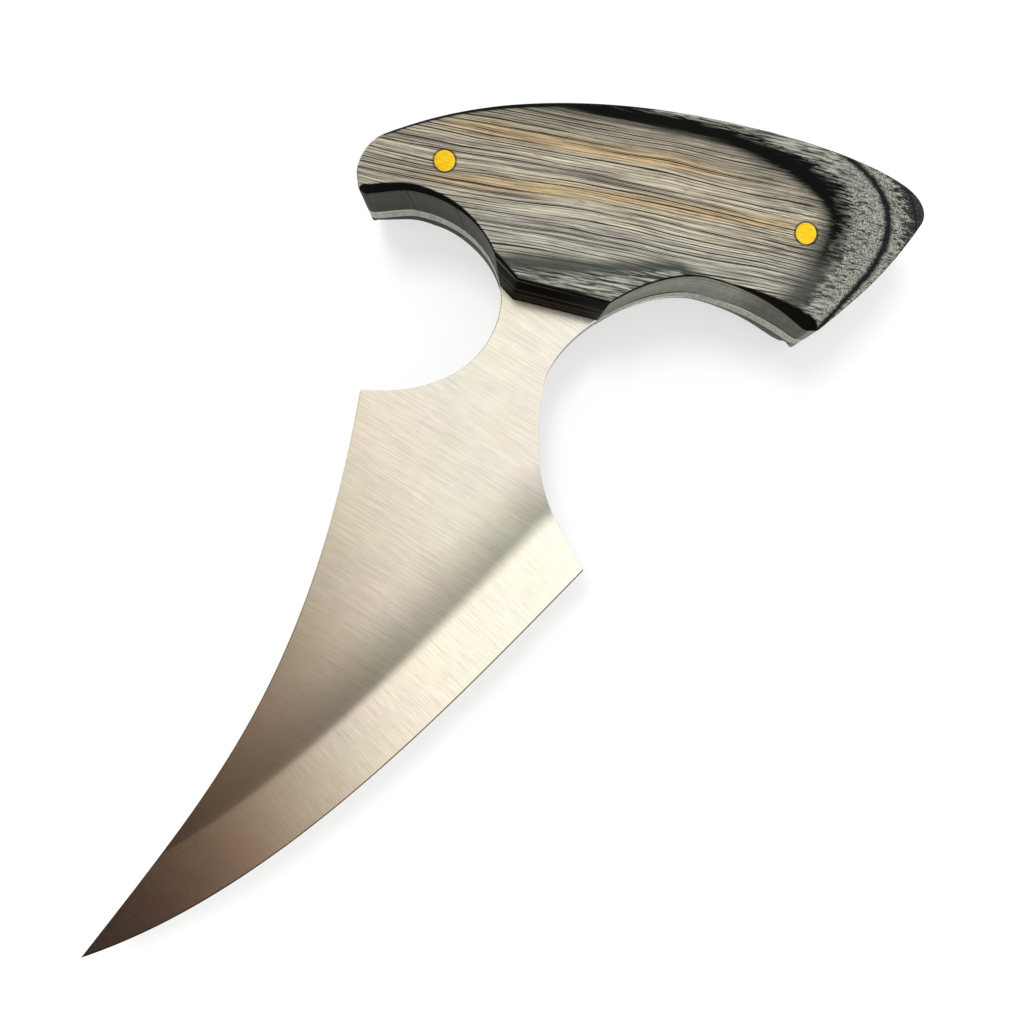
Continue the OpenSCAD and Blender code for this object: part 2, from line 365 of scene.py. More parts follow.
def steel_shape(sizes):
    """Blade, neck and tang. Two flat patches share the cut over the neck: the tang
    between the handle's borders, and the blade between its left and right outline.
    Half the thickness is a soft minimum of the bar's and of the bevel's, which grows
    with the distance from the cutting edge; every corner of the outline is broken
    by a small round. The fields are the distance from the edge and along it."""
    bevel_w = sizes.bevel_w / MM
    edge_t = sizes.edge_t / MM
    half = (TANG_HIGH_Z - TANG_LOW_Z) / 2
    split = np.array([-18, -18.6])
    along = np.array([1, -0.02])
    tang_left, neck_left = parted(LEFT_GROOVE, split, along)
    neck_right, tang_right = parted(RIGHT_GROOVE, split, along)

    left_out = joined(neck_left, LEFT_NOTCH, SPINE_LINE)
    right_out = joined(neck_right[::-1], RIGHT_NOTCH, EDGE_LINE)
    # Shares of the way down at which the two outlines are matched
    stations = np.array([0, 0.07, 0.2, 0.34, 1.0])
    left_stops = [NECK_LEFT, SHOULDER, [-42.8, -56.5]]
    right_stops = [[-7.3, -31.5], [-7.2, -44], HEEL]
    left_marks = np.array([0, *mark_shares(left_out, left_stops), 1])
    right_marks = np.array([0, *mark_shares(right_out, right_stops), 1])
    rows_down, cols_across = 260, 110
    t = eased(rows_down, 0.35)
    across = eased(cols_across, 0.7)
    left = spread(left_out, np.interp(t, stations, left_marks))
    right = spread(right_out, np.interp(t, stations, right_marks))
    blade_xy = left[:, None] + across[None, :, None] * (right - left)[:, None]

    guard = blade_xy[0]
    bottom = joined(spread(tang_left, eased(60)), guard, spread(tang_right, eased(70)))
    u = lengths(bottom)
    v = eased(30)
    tang_xy = patch(bottom, spread(BACK_LINE, u), spread(BUTT_LINE, v), spread(END_LINE, v), u, v)

    outline = np.vstack([
        left_out[::-1][:-1], tang_left[::-1][:-1], BUTT_LINE[:-1], BACK_LINE[:-1],
        END_LINE[::-1][:-1], tang_right[::-1][:-1], right_out])
    broken = 0.16
    edge_run = np.linalg.norm(np.diff(EDGE_LINE, axis=0), axis=1).sum()

    points, quads, kinds, loops, fields = [], [], [], [], []
    start = 0
    for xy in (tang_xy, blade_xy):
        flat_xy = xy.reshape(-1, 2)
        from_edge, down_edge = nearest(flat_xy, EDGE_LINE)
        bevel = edge_t / 2 + from_edge * (half - edge_t / 2) / bevel_w
        # The belt ran off softer at the heel than at the tip
        blend = 0.30 - 0.24 * np.clip(down_edge / edge_run, 0, 1)
        thick = soft_min(np.full(len(flat_xy), half), bevel, blend)
        rim = distance_to(flat_xy, outline)
        h = thick - round_over(rim, broken, np.minimum(broken, 0.6 * thick))
        rows, cols = xy.shape[:2]
        for side in (1, -1):
            points.append(np.column_stack([flat_xy, MID_Z + side * h]))
            quads.append(grid_faces(rows, cols, start, turned=side < 0))
            kinds.append(np.zeros(len(quads[-1])))
            fields.append(np.column_stack([from_edge, down_edge]))
            loops.append(border(rows, cols, start))
            start += rows * cols
    points = np.vstack(points)
    walls = np.vstack([strip_faces(loops[0], loops[1]), strip_faces(loops[2], loops[3])])
    # The cut that the two patches share has no wall
    middle = points[walls][:, :, :2].mean(1)
    walls = walls[distance_to(middle, guard) > 1e-5]
    quads.append(walls)
    kinds.append(np.ones(len(walls)))
    fields = np.vstack(fields)
    return (points, np.vstack(quads), np.concatenate(kinds),
            {"from_edge": fields[:, 0], "down_edge": fields[:, 1]})


def lower_border(inset):
    """The handle's lower border with the guard's cut in it, moved in by inset, the cut
    by itself, and the shares of the border at the cut's three corners."""
    # The corner of the cut moves in along the line that halves its angle
    corner = GUARD_LOW + inset * np.array([0.45, 1.0])
    left, _ = parted(LEFT_GROOVE, corner, GUARD_FACET)
    _, right = parted(RIGHT_GROOVE, corner, step(1, GUARD_TILT))
    line = np.vstack([left, corner[None], right])
    cut = np.vstack([left[-1:], corner[None], right[:1]])
    return line, cut, lengths(line)[len(left) - 1:len(left) + 2]


# The face's flat land: half its width, and where its fall to the nose begins
LAND_HALF_W = 8
LAND_END_X = 20

# The veneers that the crown bares lie in ovals round the land. Their centre line is
# level up to a place and climbs from there, and the first veneer is whole up to a
# reach. Past that the depth is the square of the reach over OVAL_SPREAD, for veneers
# of the thickness that the pattern was drawn for.
OVAL_X = 8
CLIMB_X = 25
CLIMB = 0.16
WHOLE_REACH = 12
OVAL_SPREAD = 240
PATTERN_VENEER_T = 1.6


def veneer_reach(x, y):
    """How far a place lies out from the land's centre, on an oval half as wide as
    it is long, whose centre line climbs to the nose. Under the centre line the oval
    is narrower over the guard and wider towards the nose."""
    centre_y = CLIMB * np.clip(x - CLIMB_X, 0, None)
    low = np.interp(x, [-20, -5, 5, 12, 16, 22, 36, 45],
                    [1.0, 1.1, 1.3, 1.45, 1.2, 0.65, 0.62, 0.85])
    narrow = np.where(y < centre_y, low, 1)
    out_x = np.clip(x - OVAL_X, 0, None)
    return np.hypot(out_x, 2 * narrow * (y - centre_y))


def crown_drop(x, y, sizes):
    """How far the face lies under its flat land: a circle's fall towards the nose
    past the land's end, and a circle's fall to either side of it, added."""
    nose_r, side_r = sizes.nose_fall_r / MM, sizes.side_roll_r / MM
    nose = nose_r - np.sqrt(nose_r**2 - np.clip(x - LAND_END_X, 0, None)**2)
    side = side_r - np.sqrt(side_r**2 - np.clip(np.abs(y) - LAND_HALF_W, 0, None)**2)
    return nose + side


def veneer_depth(x, y, veneer_t):
    """Depth in the laminate that shows at a place of the face: the square of the reach
    past the whole first veneer. Below the handle's middle the first two veneers are
    all that shows, up to the right groove."""
    depth = np.clip(veneer_reach(x, y) - WHOLE_REACH, 0, None)**2 / OVAL_SPREAD
    deepest = np.where(y < 0, np.interp(x, [18, 30], [2.3, 9]), 9)
    return np.minimum(depth, deepest) * veneer_t / PATTERN_VENEER_T


def scale_shape(front, sizes):
    """One scale: the crowned face over the handle's plan, cut or rolled into the wall
    by a width that varies round the rim, and a flat inner face. The fields are the
    depth in the laminate, how much the chamfer is painted near-black, which is black dye
    and painted shade, and the guard."""
    tall = FRONT_HIGH[2] - FRONT_LOW[2]
    draft = tall * math.tan(math.radians(GUARD_DRAFT))
    foot, _, foot_corners = lower_border(0)
    bottom, guard, corners = lower_border(draft)
    cols_along, rows_up = 340, 110
    u, v = eased(cols_along, 0.5), eased(rows_up, 0.85)
    for corner in foot_corners:
        u[np.abs(u - corner).argmin()] = corner
    top_u = np.interp(u, [0, *foot_corners, 1], [0, *corners, 1])
    back, butt, end = spread(BACK_LINE, u), spread(BUTT_LINE, v), spread(END_LINE, v)
    foot_xy = patch(spread(foot, u), back, butt, end, u, v)
    xy = patch(spread(bottom, top_u), back, butt, end, u, v)
    flat_xy = xy.reshape(-1, 2)
    x, y = flat_xy.T
    to_groove = distance_to(flat_xy, bottom)
    to_guard = distance_to(flat_xy, guard)
    to_back = distance_to(flat_xy, BACK_LINE)
    to_outer = np.minimum(to_back, distance_to(flat_xy, BUTT_LINE))
    to_outer = np.minimum(to_outer, distance_to(flat_xy, END_LINE))

    # The chamfer is wide at both ends of the handle and narrow at the guard
    widest = sizes.front_chamfer / MM
    width = widest * np.interp(x, [-49, -43, -30, -24, 22, 29, 38],
                               [1, 0.9, 0.5, 0.18, 0.15, 0.7, 1.6])
    if front:
        groove = chamfer(to_groove, width, width)
    else:
        roll = sizes.back_roll / MM
        high = np.interp(x, [-46, -42, -34, -27, -19, 0, 20, 27, 33, 38],
                         [9.4, 8.6, 7.8, 6.6, 6.4, 9.5, 9.5, 8.4, 6.9, 6.6])
        fullness = np.interp(x, [-44, -36, -19, -5, 27, 36], [0, 0.35, 0.35, 0, 0, 0.35])
        groove = chamfer(to_groove, roll, high) - fullness * high * lens(to_groove / roll)
        for corner, reach, fall in ((BUTT_CORNER, 9, 9.4), (CORNER_IN, 5, 8.2)):
            to_corner = np.linalg.norm(flat_xy - corner, axis=1)
            groove = np.maximum(groove, chamfer(to_corner, reach, fall))
    softened = np.interp(x, [-49, -42, -25, 44, 56], [0.9, 1.1, 0.6, 0.5, 0.7])
    rim = np.maximum(groove, round_over(to_outer, softened, softened))
    thinnest = 0.4
    depth = np.minimum(crown_drop(x, y, sizes) + rim, tall - thinnest)
    face = FACE_Z - depth if front else BACK_LOW[2] + depth
    inner = FRONT_LOW[2] if front else BACK_HIGH[2]

    # Near-black on the front's groove chamfers, along the back's top line and by the guard: black
    # dye, with painted shade on the chamfers that face away from the light
    dye_and_shade = smooth_step(width - to_groove, -0.12, 0.05) * front
    top_line = np.interp(x, [-48, -44, -30, -18, 0], [0.2, 0.8, 0.9, 1.1, 0.6])
    dye_and_shade = np.maximum(dye_and_shade, smooth_step(top_line - to_back, -0.15, 0.25) * (x < 2))
    dye_and_shade = np.maximum(dye_and_shade, front * smooth_step(0.55 - to_guard, -0.25, 0.2))
    near = 1 - smooth_step(to_guard, 0.02, 0.6)
    # The walls at the right groove's end take the guard's near-black, black-dyed wood and painted
    # shade, in part
    darker_right_end = 0.6 * smooth_step(x, 22, 30) * (to_groove < 1)
    fields = {
        "level": veneer_depth(x, y, sizes.veneer_t / MM) + (0 if front else 1) * rim,
        "dye_and_shade": dye_and_shade,
        "guard": np.maximum(near, darker_right_end),
    }
    rows, cols = xy.shape[:2]
    outer = np.column_stack([flat_xy, face])
    flat = np.column_stack([foot_xy.reshape(-1, 2), np.full(len(flat_xy), inner)])
    walls = strip_faces(border(rows, cols), border(rows, cols, rows * cols))
    skin = grid_faces(rows, cols)
    under = grid_faces(rows, cols, rows * cols, turned=True)
    kinds = np.concatenate([np.zeros(len(skin)), np.ones(len(under) + len(walls))])
    return (np.vstack([outer, flat]), np.vstack([skin, under, walls]), kinds,
            {key: np.tile(values, 2) for key, values in fields.items()})


def pin_shape(side, sizes):
    """A rod turned about its axis: straight waist and almost flat heads with a small
    break at the rim. Both ends follow the crown of their face."""
    r = PIN_D / 2
    n = 72
    head_r = np.array([1e-4, 0.3, 0.6, 0.85, 0.95, 0.99, 1.0]) * r
    head_h = np.array([0.06, 0.055, 0.045, 0.025, 0.005, -0.03, -0.09])
    ring = np.linspace(0, 2 * np.pi, n, endpoint=False)
    turned_r = np.concatenate([head_r, head_r[::-1]])
    x = side * PIN_X + turned_r[:, None] * np.cos(ring)
    y = turned_r[:, None] * np.sin(ring)
    drop = crown_drop(x, y, sizes)
    k = len(head_r)
    z = np.empty_like(x)
    z[:k] = FACE_Z - drop[:k] + head_h[:, None]
    z[k:] = BACK_LOW[2] + drop[k:] - head_h[::-1][:, None]
    points = np.dstack([x, y, z]).reshape(-1, 3)
    a = np.arange(2 * k - 1)[:, None] * n + np.arange(n)[None, :]
    b = np.arange(2 * k - 1)[:, None] * n + (np.arange(n)[None, :] + 1) % n
    quads = np.stack([a, b, b + n, a + n], axis=2).reshape(-1, 4)
    return points, quads


# ---- materials

# Settings of nodes that come up again: a ramp with level ends, a mix of colours, and
# the span in which nearly all of a noise lies
SMOOTH = {"interpolation_type": "SMOOTHSTEP"}
COLOUR = {"out": 2, "data_type": "RGBA"}
NOISE = {"From Min": 0.3, "From Max": 0.7}


def add(tree, kind, inputs=None, out=0, stops=None, **settings):
    """Adds a node, sets its properties, fills its inputs with links, hex colours or
    values, sets a ramp's (place, grey or hex colour) stops, and returns one output."""
    node = tree.nodes.new("ShaderNode" + kind)
    for key, value in settings.items():
        setattr(node, key, value)
    for key, value in (inputs or {}).items():
        if isinstance(value, bpy.types.NodeSocket):
            tree.links.new(value, node.inputs[key])
        else:
            node.inputs[key].default_value = srgb(value) if isinstance(value, str) else value
    for place, code in stops or ():
        element = node.color_ramp.elements.new(place)
        element.color = srgb(code) if isinstance(code, str) else (code, code, code, 1)
    if stops:
        node.color_ramp.elements.remove(node.color_ramp.elements[0])
        node.color_ramp.elements.remove(node.color_ramp.elements[-1])
    return node.outputs[out] if len(node.outputs) else node


def strands(tree, place, per_mm, detail, roughness=0.5, shift=(0, 0, 0), waver=0):
    """Fibres, scratches or pores: noise drawn out so that per_mm of them go to the
    millimetre along each axis."""
    place = add(tree, "Mapping", {"Vector": place, "Location": shift, "Scale": per_mm})
    return add(tree, "TexNoise", {
        "Vector": place, "Scale": 1, "Detail": detail, "Roughness": roughness,
        "Distortion": waver})


def new_material(name):
    """An empty node material and its coordinates in millimetres."""
    material = bpy.data.materials.new(name)
    material.use_nodes = True
    tree = material.node_tree
    tree.nodes.clear()
    place = add(tree, "TexCoord", out="Object")
    millimetres = add(tree, "VectorMath", {0: place, "Scale": 1 / MM}, operation="SCALE")
    return material, tree, millimetres


def finished(material, surface):
    """Ends a material in one surface with these values and links, and returns it."""
    tree = material.node_tree
    add(tree, "OutputMaterial", {"Surface": add(tree, "BsdfPrincipled", surface)})
    return material


def steel_material(colours, bevel_w):
    """Carbon steel, ground on a belt and left satin: fine parallel scratches that turn
    across the edge on the bevel, faint clouds, a painted highlight on the bevel with a
    painted shade beside it, and a painted dark line at the very edge for its shade."""
    material, tree, place = new_material("satin_ground_steel")
    from_edge = add(tree, "Attribute", out="Fac", attribute_name="from_edge")
    down_edge = add(tree, "Attribute", out="Fac", attribute_name="down_edge")
    # The line between bevel and flat is soft at the heel and crisp at the tip
    softness = add(tree, "MapRange", {
        "Value": down_edge, "From Min": 0, "From Max": 90, "To Min": 1.9, "To Max": 0.35})
    over_line = add(tree, "Math", {0: from_edge, 1: bevel_w - 0.2}, operation="SUBTRACT")
    over_line = add(tree, "Math", {0: over_line, 1: softness}, operation="DIVIDE")
    on_flat = add(tree, "MapRange", {"Value": over_line, "From Min": -1, "From Max": 1}, **SMOOTH)

    # Scratches 0.2 mm apart and about 8 mm long, coarser than the real 120 grit
    turned = add(tree, "VectorRotate", {"Vector": place, "Angle": math.radians(20)},
                 rotation_type="Z_AXIS")
    flat_lines = strands(tree, turned, (0.12, 4.5, 1), 5, 0.62, waver=0.1)
    across_edge = add(tree, "CombineXYZ", {0: down_edge, 1: from_edge})
    bevel_lines = strands(tree, across_edge, (4.2, 0.16, 1), 5, 0.62, waver=0.1)
    lines = add(tree, "Mix", {0: on_flat, 2: bevel_lines, 3: flat_lines})
    patches = add(tree, "TexNoise", {"Vector": place, "Scale": 0.35, "Detail": 3})
    clouds = add(tree, "TexNoise", {"Vector": place, "Scale": 0.07, "Detail": 3}, out="Color")

    tint = add(tree, "Mix", {0: 0.10, 6: (*colours.steel, 1), 7: clouds},
               **COLOUR, blend_type="OVERLAY")
    shade = add(tree, "MapRange", {"Value": lines, **NOISE, "To Min": 0.84, "To Max": 1.10})
    cloudy = add(tree, "MapRange", {"Value": patches, **NOISE, "To Min": 0.97, "To Max": 1.03})
    shade = add(tree, "Math", {0: shade, 1: cloudy}, operation="MULTIPLY")
    # The bevel is painted brighter, a painted highlight, and the flat is painted darker
    # for 13 mm beside it, a painted shade, less so towards the tip
    shade_at_bevel_line = add(tree, "MapRange", {
        "Value": down_edge, "From Min": 45, "From Max": 85, "To Min": 0.47, "To Max": 0.84})
    away = add(tree, "MapRange", {
        "Value": from_edge, "From Min": bevel_w - 0.5, "From Max": bevel_w + 13}, **SMOOTH)
    painted_shade_beside_bevel = add(tree, "Mix", {0: away, 2: shade_at_bevel_line, 3: 1.04})
    # A painted highlight on the bevel and painted shade on the flat beside it, as one factor
    finish = add(tree, "Mix", {0: on_flat, 2: 1.22, 3: painted_shade_beside_bevel})
    shade = add(tree, "Math", {0: shade, 1: finish}, operation="MULTIPLY")
    tint = add(tree, "VectorMath", {0: tint, "Scale": shade}, operation="SCALE")
    # A painted shade: a dark line about 0.2 mm wide along the cutting edge, for the shade of its
    # micro-bevel
    painted_edge_line = add(tree, "MapRange", {
        "Value": from_edge, "From Min": 0.34, "From Max": 0.16}, **SMOOTH)
    tint = add(tree, "Mix", {0: painted_edge_line, 6: tint, 7: "#5c5145"}, **COLOUR)
    rough = add(tree, "MapRange", {"Value": lines, **NOISE, "To Min": 0.24, "To Max": 0.18})
    bump = add(tree, "Bump", {"Height": lines, "Strength": 0.06, "Distance": 0.00004})
    return finished(material, {
        "Base Color": tint, "Metallic": 1.0, "Roughness": rough, "Normal": bump})


def steel_edge_material():
    """The bar's sawn and filed sides: duller and darker than its ground faces."""
    material, tree, place = new_material("filed_steel_sides")
    # File marks 0.3 mm apart across the bar, coarser than the real ones
    marks = strands(tree, place, (3.0, 3.0, 0.4), 3)
    tint = add(tree, "ValToRGB", {"Fac": marks}, stops=[(0.3, "#85877b"), (0.7, "#a3a599")])
    rough = add(tree, "MapRange", {"Value": marks, **NOISE, "To Min": 0.5, "To Max": 0.38})
    return finished(material, {"Base Color": tint, "Metallic": 1.0, "Roughness": rough})


def wood_face_material():
    """Birch veneers dyed grey, tan and black, pressed with resin, cut through by the
    crown and sanded: grain lines along the handle, a black dyed contour where the
    first veneer ends, thinner ones further down, and combs of dyed pores beside
    them where the surface cuts the fibres at a slant."""
    material, tree, place = new_material("dyed_laminated_birch")
    x, y, z = (add(tree, "SeparateXYZ", {0: place}, out=k) for k in range(3))
    level = add(tree, "Attribute", out="Fac", attribute_name="level")
    dye_and_shade = add(tree, "Attribute", out="Fac", attribute_name="dye_and_shade")

    # Grain wanders by about 1 mm over 40 mm of length
    slow = strands(tree, place, (0.024, 0.06, 0.06), 2)
    wander = add(tree, "MapRange", {
        "Value": slow, "From Min": 0, "From Max": 1, "To Min": -1.7, "To Max": 1.7})
    row = add(tree, "Math", {0: y, 1: wander}, operation="ADD")
    grain = add(tree, "CombineXYZ", {0: x, 1: row, 2: z})
    upper = add(tree, "MapRange", {"Value": y, "From Min": 2, "From Max": 11}, **SMOOTH)
    lower = add(tree, "MapRange", {"Value": y, "From Min": -2, "From Max": -9}, **SMOOTH)

    # Fibres 0.2 mm wide and 9 mm long, streaks 1.6 mm wide and 25 mm long
    fibre = strands(tree, grain, (0.11, 4.6, 4.6), 5, 0.62)
    streak = strands(tree, grain, (0.04, 0.62, 0.62), 4, 0.6)
    wood = add(tree, "ValToRGB", {"Fac": streak}, stops=[
        (0.30, "#7b756a"), (0.42, "#9e9787"), (0.54, "#b5ad9a"), (0.68, "#c5ba9f")])
    for side, share, colour in ((lower, 0.6, "#a6a59b"), (upper, 0.65, "#817a6a")):
        greyed = add(tree, "Math", {0: side, 1: share}, operation="MULTIPLY")
        wood = add(tree, "Mix", {0: greyed, 6: wood, 7: colour}, **COLOUR)

    # Two tan streaks left by the dye, one over and one under the centre line: the
    # first lies along the grain, and the second climbs towards the nose
    streaks = []
    for slope, height, half_w, gone_x, full_x in (
            (0, 6.9, 2.0, 24, 8), (0.055, -0.9, 1.9, 36, 26)):
        off = add(tree, "Math", {0: x, 1: -slope, 2: row}, operation="MULTIPLY_ADD")
        off = add(tree, "Math", {0: off, 1: height}, operation="SUBTRACT")
        off = add(tree, "Math", {0: off}, operation="ABSOLUTE")
        core = add(tree, "MapRange", {"Value": off, "From Min": half_w, "From Max": 0.3}, **SMOOTH)
        ends = add(tree, "MapRange", {"Value": x, "From Min": gone_x, "From Max": full_x}, **SMOOTH)
        streaks.append(add(tree, "Math", {0: core, 1: ends}, operation="MULTIPLY"))
    tan = add(tree, "Math", {0: streaks[0], 1: streaks[1]}, operation="MAXIMUM")
    start = add(tree, "MapRange", {"Value": x, "From Min": -44, "From Max": -26}, **SMOOTH)
    tan = add(tree, "Math", {0: tan, 1: start}, operation="MULTIPLY")
    uneven = add(tree, "MapRange", {
        "Value": fibre, "From Min": 0.36, "From Max": 0.6, "To Min": 0.4, "To Max": 0.95})
    tan = add(tree, "Math", {0: tan, 1: uneven}, operation="MULTIPLY")
    wood = add(tree, "Mix", {0: tan, 6: wood, 7: "#b79d74"}, **COLOUR)

    fibre_shade = add(tree, "MapRange", {"Value": fibre, **NOISE, "To Min": 0.45, "To Max": 1.42})
    butt_shade = add(tree, "MapRange", {
        "Value": x, "From Min": -46, "From Max": -14, "To Min": 0.8, "To Max": 1})
    fibre_shade = add(tree, "Math", {0: fibre_shade, 1: butt_shade}, operation="MULTIPLY")
    wood = add(tree, "VectorMath", {0: wood, "Scale": fibre_shade}, operation="SCALE")

    # Dark growth lines 0.95 mm apart and finer ones between, fading in and out
    drift = strands(tree, grain, (0.03, 0.32, 0.32), 3)
    fading = strands(tree, grain, (0.035, 0.9, 0.9), 3)
    lines = []
    for pitch, bend_by, width, strength in ((0.95, 1.5, 0.17, 1.0), (0.52, 2.6, 0.19, 0.8)):
        phase = add(tree, "Math", {0: row, 1: 1 / pitch}, operation="MULTIPLY")
        phase = add(tree, "Math", {0: drift, 1: bend_by, 2: phase}, operation="MULTIPLY_ADD")
        phase = add(tree, "Math", {0: phase, 1: 0.5}, operation="PINGPONG")
        line = add(tree, "MapRange", {"Value": phase, "From Min": width, "From Max": 0.04},
                   **SMOOTH)
        shown = add(tree, "MapRange", {
            "Value": fading, "From Min": 0.36, "From Max": 0.52, "To Min": 0.3, "To Max": strength},
            **SMOOTH)
        lines.append(add(tree, "Math", {0: line, 1: shown}, operation="MULTIPLY"))
    growth = add(tree, "Math", {0: lines[0], 1: lines[1]}, operation="MAXIMUM")

    # Pores 0.17 mm wide and 3 mm long, opened by sanding and filled with dye
    pore = strands(tree, grain, (0.33, 6.0, 6.0), 2)
    pore = add(tree, "MapRange", {
        "Value": pore, "From Min": 0.56, "From Max": 0.70, "To Min": 0, "To Max": 0.5}, **SMOOTH)

    # Second and deeper veneers: dashes 6 mm long along the grain, and specks of 0.3 mm
    # towards the nose, where the surface cuts the fibres at a slant. A comb is 0.4 mm
    # wide and 5 mm long.
    speck = add(tree, "TexNoise", {"Vector": place, "Scale": 3.4, "Detail": 2, "Roughness": 0.7})
    dash = strands(tree, place, (0.16, 3.0, 3.0), 4, 0.6)
    slanted = add(tree, "MapRange", {"Value": x, "From Min": 36, "From Max": 43}, **SMOOTH)
    cut = add(tree, "Mix", {0: slanted, 2: dash, 3: speck})
    deeper = add(tree, "ValToRGB", {"Fac": cut}, stops=[
        (0.34, "#292b27"), (0.44, "#6a6c63"), (0.54, "#8d8f85"), (0.64, "#adada0")])
    comb = strands(tree, place, (0.2, 2.5, 2.5), 3, 0.55)
    comb = add(tree, "MapRange", {"Value": comb, "From Min": 0.34, "From Max": 0.68})
    past_first = add(tree, "MapRange", {"Value": level, "From Min": 1.35, "From Max": 1.7})

    # Dyed pores beside the contours: crowded at the first, thinning out away from it.
    # They are 0.33 mm wide, coarser than the real ones.
    teeth = strands(tree, place, (0.22, 3.0, 3.0), 2, shift=(7, 0, 0))
    thinning = add(tree, "MapRange", {
        "Value": level, "From Min": 1.4, "From Max": 3.0, "To Min": 0.02, "To Max": -0.13})
    teeth = add(tree, "Math", {0: teeth, 1: thinning}, operation="ADD")
    teeth = add(tree, "MapRange", {"Value": teeth, "From Min": 0.46, "From Max": 0.54,
                                   "To Min": 0, "To Max": 0.8}, **SMOOTH)
    teeth = add(tree, "Math", {0: teeth, 1: past_first}, operation="MULTIPLY")

    # First black contour: smoke before it, its ragged start, and its end in a comb of
    # dyed pores. Each bound is the level, shifted by a pattern and on the upper side.
    blotch = add(tree, "TexNoise", {"Vector": place, "Scale": 0.16, "Detail": 4})
    sparse = add(tree, "Math", {0: comb, 1: 2.0}, operation="POWER")
    bounds = []
    for pattern, by, rise, low, high, most in (
            (blotch, 0.6, 0.2, 0.9, 1.75, 0.85), (fibre, 0.7, 0.32, 1.46, 1.76, 1),
            (sparse, -0.9, -0.2, 1.53, 1.24, 1)):
        uneven = add(tree, "Math", {0: pattern, 1: by, 2: level}, operation="MULTIPLY_ADD")
        uneven = add(tree, "Math", {0: upper, 1: rise, 2: uneven}, operation="MULTIPLY_ADD")
        bounds.append(add(tree, "MapRange", {
            "Value": uneven, "From Min": low, "From Max": high, "To Min": 0, "To Max": most},
            **SMOOTH))
    smoke, begins, ends = bounds
    smoke_end = add(tree, "MapRange", {"Value": level, "From Min": 2.1, "From Max": 1.6},
                    **SMOOTH)
    smoke = add(tree, "Math", {0: smoke, 1: smoke_end}, operation="MULTIPLY")
    strong = add(tree, "MapRange", {
        "Value": y, "From Min": -8, "From Max": -1, "To Min": 0.12, "To Max": 1}, **SMOOTH)
    black = add(tree, "Math", {0: begins, 1: ends}, operation="MULTIPLY")
    black = add(tree, "Math", {0: black, 1: strong}, operation="MULTIPLY")

    # Thinner contours further down, at the next glue lines
    ragged = add(tree, "TexNoise", {"Vector": place, "Scale": 0.9, "Detail": 3, "Roughness": 0.7})
    ragged = add(tree, "Math", {0: ragged, 1: 0.34, 2: level}, operation="MULTIPLY_ADD")
    combed = add(tree, "Math", {0: comb, 1: 1.3, 2: ragged}, operation="MULTIPLY_ADD")
    glue = add(tree, "MapRange", {"Value": ragged, "From Min": 0, "From Max": 10})
    glue = add(tree, "ValToRGB", {"Fac": glue}, stops=[
        (0.330, 0), (0.350, 0.97), (0.368, 0.97), (0.388, 0.0), (0.488, 0), (0.497, 0.97),
        (0.508, 0.97), (0.520, 0.45), (0.66, 0.3), (0.675, 0.9), (0.69, 0.9), (0.705, 0.3)])
    near_third = add(tree, "MapRange", {"Value": combed, "From Min": 4.95, "From Max": 5.2},
                     **SMOOTH)
    near_third = add(tree, "Math", {0: near_third, 1: 0.88}, operation="MULTIPLY")
    glue = add(tree, "Math", {0: glue, 1: near_third}, operation="MAXIMUM")

    # The dark line round each pin: painted shade of the gap between pin and wood
    side = add(tree, "Math", {0: x}, operation="ABSOLUTE")
    side = add(tree, "Math", {0: side, 1: float(PIN_X)}, operation="SUBTRACT")
    from_pin = add(tree, "CombineXYZ", {0: side, 1: y})
    from_pin = add(tree, "VectorMath", {0: from_pin}, out="Value", operation="LENGTH")
    from_pin = add(tree, "Math", {0: blotch, 1: -0.5, 2: from_pin}, operation="MULTIPLY_ADD")
    ring = add(tree, "MapRange", {
        "Value": from_pin, "From Min": PIN_D / 2 + 0.10, "From Max": PIN_D / 2 - 0.12,
        "To Min": 0, "To Max": 0.7}, **SMOOTH)

    # Each lies over the one before; the chamfers' near-black is black dye and painted shade, and
    # the line round each pin is painted shade
    for share, colour in (
            (growth, "#181816"), (pore, "#2b2c28"), (past_first, deeper), (teeth, "#191b19"),
            (smoke, "#3c3f3a"), (black, "#060706"), (glue, "#0c0e12"), (dye_and_shade, "#0b0b09"),
            (ring, "#1d160c")):
        wood = add(tree, "Mix", {0: share, 6: wood, 7: colour}, **COLOUR)

    rough = add(tree, "MapRange", {"Value": fibre, **NOISE, "To Min": 0.55, "To Max": 0.42})
    relief = add(tree, "Math", {0: growth, 1: -0.8, 2: fibre}, operation="MULTIPLY_ADD")
    bump = add(tree, "Bump", {"Height": relief, "Strength": 0.25, "Distance": 0.00005})
    return finished(material, {
        "Base Color": wood, "Roughness": rough, "Normal": bump, "Specular IOR Level": 0.03})


